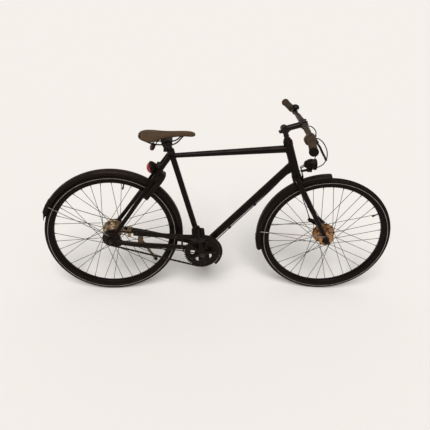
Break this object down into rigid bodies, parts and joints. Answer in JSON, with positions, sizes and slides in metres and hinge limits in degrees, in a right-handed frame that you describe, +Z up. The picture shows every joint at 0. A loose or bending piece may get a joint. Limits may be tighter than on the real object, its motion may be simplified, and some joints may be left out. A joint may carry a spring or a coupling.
{
  "type": "city bicycle",
  "caption": "City bicycle with a straight diamond frame, mudguards, lights, ring lock, short chain guard and side stand, leaning as it parks.",
  "frame": {"origin": "on the floor, at the centre of the bounding box's base", "axes": "+X forward along the bicycle, +Y to its left, +Z up from the floor; the bicycle leans 5 degrees to its left on its side stand"},
  "size_m": [1.8198, 0.681, 1.0138],
  "materials": {
    "frame_paint": "satin black",
    "black_metal": "black anodised",
    "axle_steel": "dark zinc",
    "hub_metal": "tan silver",
    "spoke_steel": "grey steel",
    "chain_steel": "dark oiled",
    "stand_metal": "satin",
    "tyre": "matt with a pale side line",
    "black_plastic": "satin black",
    "saddle_cover": "dark brown-black, worn satin",
    "grip_rubber": "matt dark brown"
  },
  "bodies": {
    "frame": {"head_tube": "frame_paint", "top_tube": "frame_paint", "down_tube": "frame_paint", "seat_tube": "frame_paint", "bottom_bracket_shell": "frame_paint", "chain_stays": "frame_paint", "seat_stays": "frame_paint", "frame_ends": "frame_paint", "rear_axle": "axle_steel", "gear_cable_joint": "black_metal", "rear_brake_arm": "hub_metal", "seat_collar": "black_metal", "saddle_rails": "black_metal", "seat_post": "black_metal", "saddle": "saddle_cover", "rear_mudguard": "black_plastic", "rear_mudguard_stays": "spoke_steel", "rear_light": "black_plastic", "ring_lock": "black_metal", "chain": "chain_steel", "chain_guard": "black_plastic", "gear_cable": "black_plastic", "stand_bracket": "stand_metal"},
    "steering": {"front_mudguard": "black_plastic", "front_mudguard_stays": "spoke_steel", "fork_crown": "frame_paint", "fork_legs": "frame_paint", "front_axle": "axle_steel", "front_brake": "black_metal", "stem": "black_metal", "handlebar": "black_metal", "grips": "grip_rubber", "gear_shifter": "grip_rubber", "brake_lever": "black_metal", "bell": "black_metal", "headlight": "black_plastic", "control_cables": "black_plastic"},
    "rear_wheel": {"rear_tyre": "tyre", "rear_rim": "black_metal", "rear_hub": "hub_metal", "rear_spokes": "spoke_steel", "rear_sprocket": "hub_metal"},
    "front_wheel": {"front_tyre": "tyre", "front_rim": "black_metal", "front_hub": "hub_metal", "front_spokes": "spoke_steel"},
    "crank": {"chainring": "black_metal", "crank_arms": "black_metal"},
    "right_pedal_body": {"right_pedal": "black_plastic"},
    "left_pedal_body": {"left_pedal": "black_plastic"},
    "stand": {"stand_leg": "stand_metal"}
  },
  "joints": [
    {"name": "rear_wheel_spin", "type": "hinge", "parent": "frame", "child": "rear_wheel", "pos_m": [-0.56393, -0.04852, 0.34475], "axis": [0, 0.9962, -0.0872], "continuous": true},
    {"name": "steering_turn", "type": "hinge", "parent": "frame", "child": "steering", "pos_m": [0.49367, -0.04852, 0.34501], "axis": [-0.3422, 0.0819, 0.936], "range_deg": [-55.4, 64.6]},
    {"name": "front_wheel_spin", "type": "hinge", "parent": "steering", "child": "front_wheel", "pos_m": [0.56486, -0.05389, 0.34542], "axis": [0.0754, 0.9954, -0.0595], "continuous": true},
    {"name": "crank_spin", "type": "hinge", "parent": "frame", "child": "crank", "pos_m": [-0.09491, -0.05541, 0.26616], "axis": [0, 0.9962, -0.0872], "continuous": true},
    {"name": "right_pedal_spin", "type": "hinge", "parent": "crank", "child": "right_pedal_body", "pos_m": [-0.12644, -0.11302, 0.43378], "axis": [0, 0.9962, -0.0872], "continuous": true},
    {"name": "left_pedal_spin", "type": "hinge", "parent": "crank", "child": "left_pedal_body", "pos_m": [-0.06339, 0.0022, 0.09854], "axis": [0, 0.9962, -0.0872], "continuous": true},
    {"name": "stand_swing", "type": "hinge", "parent": "frame", "child": "stand", "pos_m": [-0.42291, 0.03069, 0.24049], "axis": [-0.2138, 0.9749, 0.0612], "range_deg": [0, 115]}
  ]
}
